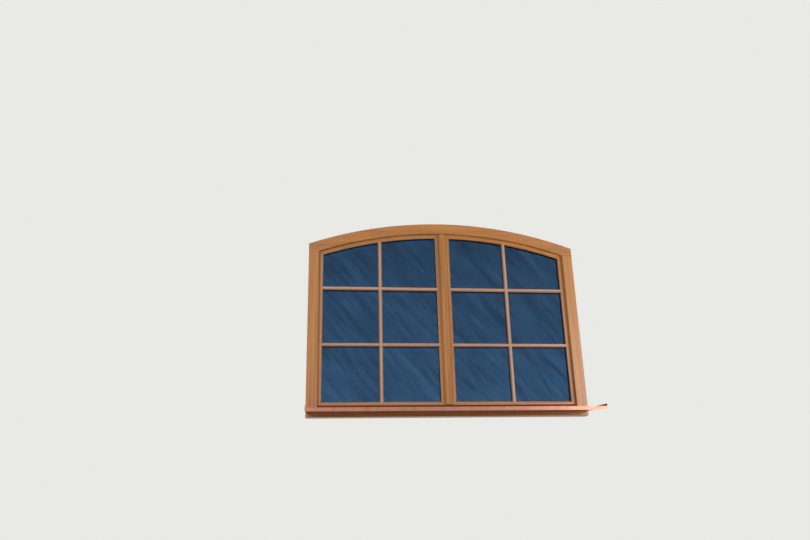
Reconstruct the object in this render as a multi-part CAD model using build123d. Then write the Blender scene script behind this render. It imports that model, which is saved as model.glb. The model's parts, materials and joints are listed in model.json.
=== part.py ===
from build123d import *
import math
import os

# Segmental-arched timber window: a fixed frame, two sashes that open into the room without a
# fixed post between them, and a copper sill outside. Sizes are in millimetres.
# X runs to the right seen from outside, Y into the room, Z up. The origin is the centre of the
# frame's underside, on the frame's outer face.

# Whole frame
FRAME_WIDTH = 2012
FRAME_HEIGHT = 1461
HEAD_RISE = 180

# Frame section
FRAME_DEPTH = 68
FRAME_FACE = 78
LIP_WIDTH = 24
LIP_DEPTH = 20
LIP_BEVEL = 3
HEAD_JOINT_DROP = 10
FLOOR_FALL = 4
FRAME_TENON = 16

# Sash section
SASH_FACE = 40
OVERLAP_LAP = 16
GLAZING_LIP = 18
GLASS_REBATE = 18
SASH_CHAMFER = 9
SASH_CHAMFER_DEPTH = 7
OVERLAP_BEVEL = 3
MEETING_DAYLIGHT = 54
SASH_TENON = 12
DRIP_GROOVE = 4
DRIP_GROOVE_DEPTH = 5
DRIP_GROOVE_SET = 8

# Fits and gaps
LIP_GAP = 2
REBATE_AIR = 12
OVERLAP_GAP = 4
SASH_GAP = 4
INNER_LAP = 18
INNER_GAP = 2
GLASS_GAP = 4
SEAL_GAP = 0.3
STRIP_GAP = 0.3
RUN_GAP = 0.3
PIN_GAP = 0.05

# Insulating glass
PANE_THICK = 4
CAVITY = 20
EDGE_SPACER = 10
TAPE_THICK = 2
TAPE_INSET = 0.5

# Glazing bars
LIGHT_HEIGHT = 400
BAR_WIDTH = 26
BAR_PROUD = 18
BAR_CHAMFER = 7
BAR_CHAMFER_DEPTH = 10
DUMMY_BAR_WIDTH = 20
DUMMY_BAR_GAP = 1

# Glazing beads
BEAD_SLOPE = 5
BEAD_SLOPE_DEPTH = 7

# Cover strip outside the meeting stiles
STRIP_WIDTH = 54
STRIP_THICK = 20
STRIP_CHAMFER = 9
STRIP_CHAMFER_DEPTH = 9
STRIP_END_GAP = 3

# Rain rail on the frame's bottom member
RAIL_WALL = 2
RAIL_HEIGHT = 26
RAIL_SET_IN = 4
RAIL_OUT = 5
RAIL_DRIP_OUT = 8
RAIL_DRIP = 12
RAIL_FOOT = 24
RAIL_END_GAP = 0.5
RAIL_CAP = 2

# Copper sill
SILL_THICK = 1
SILL_REACH = 360
SILL_SLOPE = 4
SILL_UPSTAND = 17
SILL_TOP = 49
SILL_DRIP = 22
SILL_HEM = 10
SILL_HEM_RISE = 6
SILL_END_GAP = 1
SILL_TURNUP = 18
SILL_TURNUP_ROUND = 14

# Hinges
HINGE_OUT = 9
HINGE_BACK = 12
HINGE_RADIUS = 7
HINGE_PIN = 3.5
HINGE_LENGTH = 90
HINGE_LEAF_THICK = 3
HINGE_LEAF_END = 4
HINGE_LEAF_DEPTH = 35
HINGE_CAP = 6
HINGE_PIN_AIR = 1
HINGE_FROM_END = 180

# Fixing holes through the jambs
FIX_RADIUS = 3.75
FIX_FROM_END = 260

# Lock in the active sash
LOCK_GROOVE = 16
LOCK_GROOVE_DEPTH = 6
LOCK_GROOVE_SET = 14
FACEPLATE_THICK = 2.5
ROD_THICK = 2.5
ROD_WIDTH = 12
ROD_END = 50
ROD_TRAVEL = 18
CAM_RADIUS = 4.5
CAM_REACH = 8
CAM_FROM_LOCK = 240
LOCK_HEIGHT = 620
LOCK_CASE_HEIGHT = 130
LOCK_CASE_DEPTH = 20
LOCK_CASE_THICK = 12
BACKSET = 15

# Handle
SPINDLE = 7
SPINDLE_GAP = 0.6
ROSETTE_WIDTH = 30
ROSETTE_HEIGHT = 72
ROSETTE_THICK = 10
ROSETTE_CORNER = 6
ROSETTE_BEVEL = 2.5
NECK_RADIUS = 8
NECK_LENGTH = 30
LEVER_LENGTH = 118
LEVER_WIDTH = 22
LEVER_TIP_WIDTH = 15
LEVER_THICK = 12
LEVER_BEVEL = 2.5

# Strikers and flush bolts on the passive sash
STRIKER_PLATE = 2
STRIKER_HEIGHT = 44
STRIKER_LIP_HEIGHT = 14
STRIKER_LIP_THICK = 4
STRIKER_LIP_REACH = 7
STRIKER_CLEAR = 0.8
STRIKER_FROM_BOLT = 30
BOLT_RADIUS = 4
BOLT_LENGTH = 150
BOLT_REACH = 10
BOLT_TRAVEL = 18
BOLT_HOUSING_PLATE = 2
BOLT_HOUSING_SET = 2
BOLT_HOUSING_END = 16
BOLT_COVER = 1
KNOB_LENGTH = 16
KNOB_WIDTH = 5.6
KNOB_REACH = 4
BOLT_PLATE_LENGTH = 40
BOLT_PLATE_THICK = 2
BOLT_PLATE_PROUD = 0.3

# Places that follow from the sizes above, measured inwards from the frame's outer edge
HALF_WIDTH = FRAME_WIDTH / 2
HEAD_RADIUS = (HALF_WIDTH**2 + HEAD_RISE**2) / (2 * HEAD_RISE)
ARC_CENTRE_Z = FRAME_HEIGHT - HEAD_RADIUS
REBATE_FLOOR = FRAME_FACE - LIP_WIDTH
SASH_EDGE = REBATE_FLOOR + REBATE_AIR
OVERLAP_EDGE = REBATE_FLOOR - OVERLAP_LAP
DAYLIGHT = SASH_EDGE + SASH_FACE
GLASS_EDGE = DAYLIGHT - GLASS_REBATE + GLASS_GAP
BEAD_EDGE = DAYLIGHT - GLASS_REBATE

# Depths, measured from the frame's outer face
SASH_FRONT = LIP_DEPTH + LIP_GAP
TAPE_FRONT = SASH_FRONT + GLAZING_LIP
OUTER_PANE = TAPE_FRONT + TAPE_THICK
SPACER_FRONT = OUTER_PANE + PANE_THICK
INNER_PANE = SPACER_FRONT + CAVITY
GASKET_FRONT = INNER_PANE + PANE_THICK
BEAD_FRONT = GASKET_FRONT + TAPE_THICK
OVERLAP_FRONT = FRAME_DEPTH + OVERLAP_GAP
SASH_BACK = BEAD_FRONT + GLAZING_LIP
BAR_FRONT = OUTER_PANE - BAR_PROUD
BAR_BACK = GASKET_FRONT + BAR_PROUD
STRIP_FRONT = SASH_FRONT - STRIP_THICK

# Meeting stiles: distance of each layer's edge from the window's centre line
MEETING_EDGE = SASH_GAP / 2
MEETING_REBATE = REBATE_AIR / 2
MEETING_GLASS = MEETING_DAYLIGHT - GLASS_REBATE + GLASS_GAP
MEETING_BEAD = MEETING_DAYLIGHT - GLASS_REBATE
VERTICAL_BAR = (MEETING_DAYLIGHT + HALF_WIDTH - DAYLIGHT) / 2
CROSS_BARS = [DAYLIGHT + row * (LIGHT_HEIGHT + BAR_WIDTH) - BAR_WIDTH / 2 for row in (1, 2)]

SIDE_HEIGHT = FRAME_HEIGHT - HEAD_RISE
HINGE_X = HALF_WIDTH - OVERLAP_EDGE + HINGE_OUT
HINGE_Y = FRAME_DEPTH + HINGE_BACK
HINGE_HEIGHTS = (HINGE_FROM_END, SIDE_HEIGHT - HINGE_FROM_END)
FIX_HEIGHTS = (FIX_FROM_END, SIDE_HEIGHT / 2, SIDE_HEIGHT - FIX_FROM_END)
GROOVE_MIDDLE = FRAME_DEPTH - LOCK_GROOVE_SET
GROOVE_Y = (GROOVE_MIDDLE - LOCK_GROOVE / 2, GROOVE_MIDDLE + LOCK_GROOVE / 2)
SASH_TENON_Y = (GROOVE_MIDDLE - SASH_TENON / 2, GROOVE_MIDDLE + SASH_TENON / 2)
BACK_MIDDLE = (LIP_DEPTH + FRAME_DEPTH) / 2
FRAME_TENON_Y = (BACK_MIDDLE - FRAME_TENON / 2, BACK_MIDDLE + FRAME_TENON / 2)
RAIL_TOP = REBATE_FLOOR + RAIL_HEIGHT
SILL_LENGTH = FRAME_WIDTH - 2 * SILL_END_GAP
FAR = 2 * (FRAME_WIDTH + FRAME_HEIGHT)


def save(shape, node):
    """Write one node's solids."""
    export_step(shape, f"parts/{node}.step")


def block(x_ends, y_ends, z_ends):
    """A box from its two ends along each axis, in either order."""
    size = [abs(ends[1] - ends[0]) for ends in (x_ends, y_ends, z_ends)]
    middle = [(ends[0] + ends[1]) / 2 for ends in (x_ends, y_ends, z_ends)]
    return Pos(*middle) * Box(*size)


def rod_along(direction, start, radius, length):
    """A round rod from a start point."""
    return extrude(Plane(start, z_dir=direction) * Circle(radius), amount=length)


def plate(corners, y_front, y_back):
    """A flat plate whose outline is a list of (x, z) corners."""
    outline = Polyline(*[(x, y_front, z) for x, z in corners], close=True)
    return extrude(make_face(outline), amount=y_back - y_front, dir=(0, 1, 0))


def along_x(points, length, rounds=()):
    """A bar with a section of (y, z) points, centred along X, with some corners rounded."""
    section = make_face(Polyline(*points, close=True))
    for corner, radius in rounds:
        section = fillet(section.vertices().sort_by_distance(points[corner])[0], radius)
    return Pos(-length / 2, 0, 0) * extrude(Plane.YZ * section, amount=length)


def arc_height(x, offset):
    """Height above the underside of the arch that lies an offset inside the frame's outer edge."""
    return ARC_CENTRE_Z + math.sqrt((HEAD_RADIUS - offset) ** 2 - x**2)


def arch_slab(x_ends, z_foot, arch_offset, y_ends):
    """A slab with upright sides, a straight foot and an arched top."""
    low, high = sorted(x_ends)
    middle = (low + high) / 2
    y = y_ends[0]
    left_top = (low, y, arc_height(low, arch_offset))
    right_top = (high, y, arc_height(high, arch_offset))
    crown = (middle, y, arc_height(middle, arch_offset))
    sides = Polyline(right_top, (high, y, z_foot), (low, y, z_foot), left_top)
    outline = make_face(sides + ThreePointArc(left_top, crown, right_top))
    return extrude(outline, amount=y_ends[1] - y, dir=(0, 1, 0))


def frame_slab(offset, foot, y_ends):
    """A slab over the whole window, an offset inside the frame's outer edge."""
    half = HALF_WIDTH - offset
    return arch_slab((-half, half), foot, offset, y_ends)


def sash_slab(side, meeting, offset, y_ends):
    """A slab over one sash, from a distance beside the centre line to an offset inside the frame."""
    return arch_slab((side * meeting, side * (HALF_WIDTH - offset)), offset, offset, y_ends)


def outdoor_face(shape):
    """The face of a frame or sash that looks outdoors."""
    return shape.faces().sort_by(Axis.Y)[0]


def room_face(shape):
    """The face of a frame or sash that looks into the room."""
    return shape.faces().sort_by(Axis.Y)[-1]


def opening_edges(face):
    """The edges round the opening in a face."""
    return face.inner_wires()[0].edges()


# Fixed frame

def frame_ring():
    """The whole frame before it is cut into its members, with a bevel round the opening outdoors."""
    lip = frame_slab(0, 0, (0, LIP_DEPTH)) - frame_slab(FRAME_FACE, REBATE_FLOOR, (0, LIP_DEPTH))
    back_ends = (LIP_DEPTH, FRAME_DEPTH)
    back = frame_slab(0, 0, back_ends) - frame_slab(REBATE_FLOOR, REBATE_FLOOR, back_ends)
    ring = lip + back
    edges = opening_edges(outdoor_face(ring))
    return chamfer(edges.filter_by(lambda edge: edge.center().Z > DAYLIGHT), LIP_BEVEL)


def jamb_zone(side):
    """Where a jamb is: beside the opening, but for the bottom member's tenon through its foot."""
    lip_x = side * (HALF_WIDTH - FRAME_FACE)
    floor_x = side * (HALF_WIDTH - REBATE_FLOOR)
    front = block((lip_x, side * FAR), (0, LIP_DEPTH), (0, FAR))
    back = block((floor_x, side * FAR), (LIP_DEPTH, FRAME_DEPTH), (0, FAR))
    tenon = block((floor_x, side * FAR), FRAME_TENON_Y, (0, REBATE_FLOOR))
    return front + back - tenon


def head_joint():
    """The level joint between the jambs and the arched head, a little below the springing."""
    springing = arc_height(HALF_WIDTH - FRAME_FACE, FRAME_FACE)
    return Plane((0, 0, springing - HEAD_JOINT_DROP), z_dir=(0, 0, 1))


def hinge_leaf_in_frame(side, height):
    """The hinge leaf that stands in a jamb, from its barrel's axis, below the barrel's middle."""
    half = HINGE_LEAF_THICK / 2
    x_ends = (side * HINGE_X - half, side * HINGE_X + half)
    y_ends = (FRAME_DEPTH - HINGE_LEAF_DEPTH, HINGE_Y)
    foot = height - HINGE_LENGTH / 2
    return block(x_ends, y_ends, (foot + HINGE_LEAF_END, height - HINGE_LEAF_END))


def hinge_leaf_in_sash(side, height):
    """The hinge leaf that stands in a sash, from its barrel's axis, above the barrel's middle."""
    half = HINGE_LEAF_THICK / 2
    x_ends = (side * HINGE_X, side * (HALF_WIDTH - OVERLAP_EDGE - HINGE_LEAF_DEPTH))
    top = height + HINGE_LENGTH / 2
    return block(x_ends, (HINGE_Y - half, HINGE_Y + half), (height + HINGE_LEAF_END, top - HINGE_LEAF_END))


def fixing_holes(side):
    """Holes for the wall screws, through the jamb behind the lip."""
    holes = []
    floor = HALF_WIDTH - REBATE_FLOOR
    for height in FIX_HEIGHTS:
        start = (side * floor, BACK_MIDDLE, height)
        holes.append(rod_along((side, 0, 0), start, FIX_RADIUS, REBATE_FLOOR))
    return holes


def frame_floor_at_bolt(top):
    """Height of the frame's rebate floor above or below the flush bolts."""
    return arc_height(BOLT_X, REBATE_FLOOR) if top else REBATE_FLOOR


def bolt_plate_pocket(top):
    """The pocket in the frame for a flush bolt's plate, and the bolt's hole behind it."""
    floor = frame_floor_at_bolt(top)
    way = 1 if top else -1
    sides = (BOLT_X - BOLT_PLATE_LENGTH / 2, BOLT_X + BOLT_PLATE_LENGTH / 2)
    pocket = block(sides, GROOVE_Y, (floor - way * BOLT_PLATE_PROUD, floor + way * BOLT_PLATE_THICK))
    start = (BOLT_X, GROOVE_MIDDLE, floor - way * BOLT_PLATE_PROUD)
    hole = rod_along((0, 0, way), start, BOLT_RADIUS + RUN_GAP, BOLT_REACH + BOLT_PLATE_THICK)
    return pocket, hole


def build_frame():
    """The four members of the fixed frame."""
    ring = frame_ring()
    head = split(ring, bisect_by=head_joint(), keep=Keep.TOP)
    rest = split(ring, bisect_by=head_joint(), keep=Keep.BOTTOM)
    bottom = rest - jamb_zone(-1) - jamb_zone(1)
    bottom -= along_x([(0, REBATE_FLOOR), (0, REBATE_FLOOR - FLOOR_FALL), (LIP_DEPTH, REBATE_FLOOR)], FRAME_WIDTH)
    pocket, hole = bolt_plate_pocket(True)
    save(pocket - hole, "upper_bolt_plate")
    save(head - pocket - hole, "frame_head")
    pocket, hole = bolt_plate_pocket(False)
    save(pocket - hole, "lower_bolt_plate")
    save(bottom - pocket - hole, "frame_bottom_rail")
    for side, name in ((-1, "left"), (1, "right")):
        jamb = rest & jamb_zone(side)
        for hole in fixing_holes(side):
            jamb -= hole
        for height in HINGE_HEIGHTS:
            jamb -= hinge_leaf_in_frame(side, height)
        save(jamb, f"frame_jamb_{name}")


# Sashes

def sash_layers(active):
    """The layers of a sash: depths, distance from the centre line, and offset of the outer edge."""
    if active:
        return [
            ((SASH_FRONT, TAPE_FRONT), MEETING_EDGE, SASH_EDGE),
            ((TAPE_FRONT, OVERLAP_FRONT), MEETING_REBATE, SASH_EDGE),
            ((OVERLAP_FRONT, SASH_BACK), -INNER_LAP, OVERLAP_EDGE),
        ]
    return [
        ((SASH_FRONT, TAPE_FRONT), MEETING_EDGE, SASH_EDGE),
        ((TAPE_FRONT, FRAME_DEPTH), MEETING_REBATE, SASH_EDGE),
        ((FRAME_DEPTH, OVERLAP_FRONT), INNER_LAP + INNER_GAP, SASH_EDGE),
        ((OVERLAP_FRONT, SASH_BACK), INNER_LAP + INNER_GAP, OVERLAP_EDGE),
    ]


def sash_ring(side, active):
    """A whole sash before it is cut into stiles and rails."""
    ring = Part()
    for depths, meeting, offset in sash_layers(active):
        if depths[0] < TAPE_FRONT:
            opening = sash_slab(side, MEETING_DAYLIGHT, DAYLIGHT, depths)
        else:
            opening = sash_slab(side, MEETING_BEAD, BEAD_EDGE, depths)
        ring += sash_slab(side, meeting, offset, depths) - opening
    ring = chamfer(opening_edges(outdoor_face(ring)), SASH_CHAMFER, SASH_CHAMFER_DEPTH)
    ring = chamfer(room_face(ring).outer_wire().edges(), OVERLAP_BEVEL)
    groove_y = (SASH_FRONT + DRIP_GROOVE_SET, SASH_FRONT + DRIP_GROOVE_SET + DRIP_GROOVE)
    return ring - block((0, side * HALF_WIDTH), groove_y, (SASH_EDGE, SASH_EDGE + DRIP_GROOVE_DEPTH))


def tenon_zones(side):
    """Where the tenons of a sash's rails run through the ends of its stiles."""
    zones = Part()
    for shoulder, end in ((HALF_WIDTH - BEAD_EDGE, HALF_WIDTH), (MEETING_BEAD, 0)):
        x_ends = (side * shoulder, side * end)
        zones += block(x_ends, SASH_TENON_Y, (0, BEAD_EDGE))
        zones += block(x_ends, SASH_TENON_Y, (arc_height(shoulder, BEAD_EDGE), FRAME_HEIGHT))
    return zones


def stile_zones(side):
    """Where the hinge stile and the meeting stile of a sash are, front and back of the glass rebate."""
    front = (SASH_FRONT, TAPE_FRONT)
    back = (TAPE_FRONT, SASH_BACK)
    heights = (0, FAR)
    hinge = block((side * (HALF_WIDTH - DAYLIGHT), side * FAR), front, heights)
    hinge += block((side * (HALF_WIDTH - BEAD_EDGE), side * FAR), back, heights)
    meeting = block((-side * FAR, side * MEETING_DAYLIGHT), front, heights)
    meeting += block((-side * FAR, side * MEETING_BEAD), back, heights)
    return hinge, meeting


def upper_and_lower(shape):
    """Split a shape's solids into those above and those below the lower cross bar."""
    upper = [solid for solid in shape.solids() if solid.center().Z > CROSS_BARS[0]]
    lower = [solid for solid in shape.solids() if solid.center().Z < CROSS_BARS[0]]
    return Compound(upper), Compound(lower)


def bevelled_section(width, foot, face, bevel, bevel_depth):
    """The (u, y) outline of a bar or strip: flat back at the foot, bevelled both sides to the face."""
    half = width / 2
    shoulder = face + bevel_depth if face < foot else face - bevel_depth
    nose = half - bevel
    return [(-half, foot), (-half, shoulder), (-nose, face), (nose, face), (half, shoulder), (half, foot)]


def upright(section, x, z_ends):
    """A bar with a section of (u, y) points that stands at x."""
    outline = Polyline(*[(x + u, y, z_ends[0]) for u, y in section], close=True)
    return extrude(make_face(outline), amount=z_ends[1] - z_ends[0], dir=(0, 0, 1))


def bar_space(side, ring, glass, timber, face):
    """The room that bars can fill on one side of the glass, out to the timber round it."""
    beside_tape = sash_slab(side, MEETING_DAYLIGHT, DAYLIGHT, sorted((glass, timber)))
    beyond = sash_slab(side, MEETING_BEAD, BEAD_EDGE, sorted((timber, face)))
    return beside_tape + (beyond - ring)


def glazing_bars(side, space, glass, face):
    """The bars glued on one side of the glass: one upright, and cross bars cut against it."""
    section = bevelled_section(BAR_WIDTH, glass, face, BAR_CHAMFER, BAR_CHAMFER_DEPTH)
    standing = upright(section, side * VERTICAL_BAR, (0, FRAME_HEIGHT)) & space
    crossing = []
    for height in CROSS_BARS:
        bar = along_x([(y, height + u) for u, y in section], FRAME_WIDTH)
        crossing += ((bar & space) - standing).solids()
    return standing, Compound(crossing)


def bead_corners(side, offset, meeting):
    """The four corners of a bead ring's outline, from the meeting foot round to the meeting top."""
    near = side * meeting
    far = side * (HALF_WIDTH - offset)
    return [(near, offset), (far, offset), (far, arc_height(far, offset)), (near, arc_height(near, offset))]


def glazing_beads(side):
    """Four beads, mitred at the corners, that hold the glass from the room side."""
    depths = (BEAD_FRONT, SASH_BACK)
    ring = sash_slab(side, MEETING_BEAD, BEAD_EDGE, depths)
    ring -= sash_slab(side, MEETING_DAYLIGHT, DAYLIGHT, depths)
    ring = chamfer(opening_edges(room_face(ring)), BEAD_SLOPE, BEAD_SLOPE_DEPTH)
    outer = bead_corners(side, BEAD_EDGE, MEETING_BEAD)
    inner = bead_corners(side, DAYLIGHT, MEETING_DAYLIGHT)
    beads = []
    for first, second in ((0, 1), (1, 2), (3, 0)):
        zone = plate([outer[first], outer[second], inner[second], inner[first]], *depths)
        beads += (ring & zone).solids()
        ring -= zone
    return Compound(beads + ring.solids())


def glass_unit(side, name):
    """Two panes, the spacer frame with its dummy bars between them, and the seals round them."""
    pane = sash_slab(side, MEETING_GLASS, GLASS_EDGE, (OUTER_PANE, SPACER_FRONT))
    save(pane, f"{name}_outer_pane")
    save(Pos(0, INNER_PANE - OUTER_PANE, 0) * pane, f"{name}_inner_pane")
    depths = (SPACER_FRONT, INNER_PANE)
    inside = sash_slab(side, MEETING_GLASS + EDGE_SPACER, GLASS_EDGE + EDGE_SPACER, depths)
    spacer = sash_slab(side, MEETING_GLASS, GLASS_EDGE, depths) - inside
    half = DUMMY_BAR_WIDTH / 2
    between = (SPACER_FRONT + DUMMY_BAR_GAP, INNER_PANE - DUMMY_BAR_GAP)
    middle = side * VERTICAL_BAR
    dummies = block((middle - half, middle + half), between, (0, FRAME_HEIGHT))
    for height in CROSS_BARS:
        dummies += block((0, side * HALF_WIDTH), between, (height - half, height + half))
    save(spacer + (dummies & inside), f"{name}_glass_spacer")
    seals = []
    for front in (TAPE_FRONT, GASKET_FRONT):
        ends = (front, front + TAPE_THICK)
        inner = sash_slab(side, MEETING_DAYLIGHT - TAPE_INSET, DAYLIGHT - TAPE_INSET, ends)
        seals.append((sash_slab(side, MEETING_GLASS, GLASS_EDGE, ends) - inner).solid())
    save(Compound(seals), f"{name}_glazing_seals")


def overlap_seal(side, active):
    """The seal under the sash's overlap, which meets the frame's inner face."""
    depths = (FRAME_DEPTH + SEAL_GAP, OVERLAP_FRONT)
    outer_offset = OVERLAP_EDGE + OVERLAP_LAP / 4
    inner_offset = REBATE_FLOOR - OVERLAP_LAP / 4
    if active:
        outer = sash_slab(side, -INNER_LAP + OVERLAP_LAP / 8, outer_offset, depths)
        inner = sash_slab(side, -INNER_LAP / 2, inner_offset, depths)
    else:
        outer = sash_slab(side, INNER_LAP + INNER_GAP, outer_offset, depths)
        inner = sash_slab(side, 0, inner_offset, depths)
    return outer - inner


def build_hinges(side, frame_name, sash_name):
    """Mortised hinges: a barrel with a pin and leaf on the frame, and a barrel over it on the sash."""
    frame_parts = []
    sash_parts = []
    half = HINGE_LENGTH / 2
    for height in HINGE_HEIGHTS:
        centre = (side * HINGE_X, HINGE_Y)
        pin_length = HINGE_LENGTH - HINGE_CAP - HINGE_PIN_AIR
        lower = rod_along((0, 0, 1), (*centre, height - half), HINGE_RADIUS, half - RUN_GAP)
        pin = rod_along((0, 0, 1), (*centre, height - half), HINGE_PIN, pin_length)
        frame_parts.append((lower + pin + hinge_leaf_in_frame(side, height)).solid())
        upper = rod_along((0, 0, 1), (*centre, height), HINGE_RADIUS, half)
        bore = rod_along((0, 0, 1), (*centre, height), HINGE_PIN + PIN_GAP, half - HINGE_CAP)
        sash_parts.append(((upper + hinge_leaf_in_sash(side, height)) - bore).solid())
    save(Compound(frame_parts), f"{frame_name}_hinge_frame_parts")
    save(Compound(sash_parts), f"{sash_name}_hinge_parts")


def build_sash(side, active, name, hardware_cuts):
    """One sash: four timber members, bars, beads, glass and seals."""
    ring = sash_ring(side, active)
    leaf_cuts = [hinge_leaf_in_sash(side, height) for height in HINGE_HEIGHTS]
    for cut in leaf_cuts + hardware_cuts:
        ring -= cut
    tenons = tenon_zones(side)
    hinge_zone, meeting_zone = (zone - tenons for zone in stile_zones(side))
    save(ring & hinge_zone, f"{name}_hinge_stile")
    save(ring & meeting_zone, f"{name}_meeting_stile")
    top_rail, bottom_rail = upper_and_lower(ring - hinge_zone - meeting_zone)
    save(top_rail, f"{name}_top_rail")
    save(bottom_rail, f"{name}_bottom_rail")
    beads = glazing_beads(side)
    for place, border, glass, timber, face in (
        ("outer", ring, OUTER_PANE, TAPE_FRONT, BAR_FRONT),
        ("inner", beads, GASKET_FRONT, BEAD_FRONT, BAR_BACK),
    ):
        standing, crossing = glazing_bars(side, bar_space(side, border, glass, timber, face), glass, face)
        save(standing, f"{name}_{place}_upright_bar")
        save(crossing, f"{name}_{place}_cross_bars")
    save(beads, f"{name}_glazing_beads")
    glass_unit(side, name)
    save(overlap_seal(side, active), f"{name}_overlap_seal")


# Lock of the active sash

LOCK_FACE = -MEETING_REBATE
FACEPLATE_BACK = LOCK_FACE - FACEPLATE_THICK
ROD_FRONT = FACEPLATE_BACK - RUN_GAP
ROD_BACK = ROD_FRONT - ROD_THICK
GROOVE_BACK = LOCK_FACE - LOCK_GROOVE_DEPTH
CASE_BACK = GROOVE_BACK - LOCK_CASE_DEPTH
HANDLE_X = LOCK_FACE - BACKSET
CASE_Y = (GROOVE_MIDDLE - LOCK_CASE_THICK / 2, GROOVE_MIDDLE + LOCK_CASE_THICK / 2)
CASE_Z = (LOCK_HEIGHT - LOCK_CASE_HEIGHT / 2, LOCK_HEIGHT + LOCK_CASE_HEIGHT / 2)
SASH_TOP = arc_height(LOCK_FACE, SASH_EDGE)
ROD_Z = (SASH_EDGE + ROD_END, SASH_TOP - ROD_END)
SPINDLE_HOLE = math.hypot(SPINDLE, SPINDLE) / 2 + SPINDLE_GAP
BOLT_X = MEETING_REBATE + BOLT_HOUSING_PLATE + BOLT_COVER + BOLT_RADIUS + RUN_GAP
BOLT_ROOM = BOLT_LENGTH - BOLT_REACH + BOLT_TRAVEL + RUN_GAP + BOLT_HOUSING_END
CAM_FROM_END = BOLT_ROOM + STRIKER_FROM_BOLT + STRIKER_HEIGHT / 2
CAM_HEIGHTS = (
    REBATE_FLOOR + CAM_FROM_END,
    LOCK_HEIGHT + CAM_FROM_LOCK,
    arc_height(BOLT_X, REBATE_FLOOR) - CAM_FROM_END,
)


def lock_cuts():
    """The groove, the case's pocket and the spindle's hole in the active meeting stile."""
    groove = block((LOCK_FACE, GROOVE_BACK), GROOVE_Y, (0, FAR))
    pocket = block((GROOVE_BACK, CASE_BACK), CASE_Y, CASE_Z)
    hole = rod_along((0, 1, 0), (HANDLE_X, GROOVE_MIDDLE, LOCK_HEIGHT), SPINDLE_HOLE, FRAME_DEPTH)
    return [groove, pocket, hole]


def cam_slot(height):
    """The slot in the faceplate along which a cam slides."""
    middle = Plane((0, GROOVE_MIDDLE, height + ROD_TRAVEL / 2), x_dir=(0, 0, 1), z_dir=(-1, 0, 0))
    outline = SlotCenterToCenter(ROD_TRAVEL, 2 * (CAM_RADIUS + RUN_GAP))
    return extrude(middle * outline, amount=-GROOVE_BACK)


def build_lock():
    """Faceplate, case, drive rod, cams, handle and rosette."""
    faceplate = block((LOCK_FACE, FACEPLATE_BACK), GROOVE_Y, (SASH_EDGE, SASH_TOP))
    for height in CAM_HEIGHTS:
        faceplate -= cam_slot(height)
    save(faceplate, "active_lock_faceplate")

    case = block((GROOVE_BACK, CASE_BACK), CASE_Y, CASE_Z)
    case -= rod_along((0, 1, 0), (HANDLE_X, CASE_Y[0], LOCK_HEIGHT), SPINDLE_HOLE, LOCK_CASE_THICK)
    save(case, "active_lock_case")

    rod_y = (GROOVE_MIDDLE - ROD_WIDTH / 2, GROOVE_MIDDLE + ROD_WIDTH / 2)
    save(block((ROD_FRONT, ROD_BACK), rod_y, ROD_Z), "drive_rod")
    cams = []
    for height in CAM_HEIGHTS:
        length = CAM_REACH + LOCK_FACE - ROD_FRONT
        cams.append(rod_along((1, 0, 0), (ROD_FRONT, GROOVE_MIDDLE, height), CAM_RADIUS, length).solid())
    save(Compound(cams), "locking_cams")

    rosette_face = Plane((HANDLE_X, SASH_BACK, LOCK_HEIGHT), x_dir=(0, 0, 1), z_dir=(0, 1, 0))
    outline = RectangleRounded(ROSETTE_HEIGHT, ROSETTE_WIDTH, ROSETTE_CORNER)
    rosette = extrude(rosette_face * outline, amount=ROSETTE_THICK)
    rosette = chamfer(rosette.faces().sort_by(Axis.Y)[-1].edges(), ROSETTE_BEVEL)
    rosette -= rod_along((0, 1, 0), (HANDLE_X, SASH_BACK, LOCK_HEIGHT), NECK_RADIUS + RUN_GAP, ROSETTE_THICK)
    save(rosette, "handle_rosette")

    neck_start = SASH_BACK + RUN_GAP
    neck_end = neck_start + ROSETTE_THICK + NECK_LENGTH
    neck = rod_along((0, 1, 0), (HANDLE_X, neck_start, LOCK_HEIGHT), NECK_RADIUS, neck_end - neck_start)
    lever_face = Plane((HANDLE_X, neck_end - LEVER_THICK, LOCK_HEIGHT), x_dir=(0, 0, 1), z_dir=(0, 1, 0))
    head = Circle(LEVER_WIDTH / 2)
    tip = Pos((LEVER_WIDTH + LEVER_TIP_WIDTH) / 2 - LEVER_LENGTH, 0) * Circle(LEVER_TIP_WIDTH / 2)
    lever = extrude(lever_face * make_hull(head.edges() + tip.edges()), amount=LEVER_THICK)
    for face in (lever.faces().sort_by(Axis.Y)[0], lever.faces().sort_by(Axis.Y)[-1]):
        lever = chamfer(face.edges(), LEVER_BEVEL)
    save(neck + lever, "handle_lever")
    half = SPINDLE / 2
    spindle_z = (LOCK_HEIGHT - half, LOCK_HEIGHT + half)
    save(block((HANDLE_X - half, HANDLE_X + half), (CASE_Y[0], neck_start), spindle_z), "handle_spindle")


# Strikers, flush bolts and cover strip of the passive sash

def build_strikers():
    """Plates screwed to the passive sash, each with a lip that a cam slides behind."""
    plates = []
    face = MEETING_REBATE
    lip_front = GROOVE_MIDDLE + CAM_RADIUS + STRIKER_CLEAR
    lip_depth = (lip_front, lip_front + STRIKER_LIP_THICK)
    for height in CAM_HEIGHTS:
        base_z = (height - STRIKER_HEIGHT / 2, height + STRIKER_HEIGHT / 2)
        base = block((face, face - STRIKER_PLATE), (GROOVE_Y[0], lip_depth[1]), base_z)
        lip_z = (height - STRIKER_LIP_HEIGHT / 2, height + STRIKER_LIP_HEIGHT / 2)
        lip = block((face, face - STRIKER_LIP_REACH), lip_depth, lip_z)
        plates.append((base + lip).solid())
    save(Compound(plates), "cam_strikers")


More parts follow.
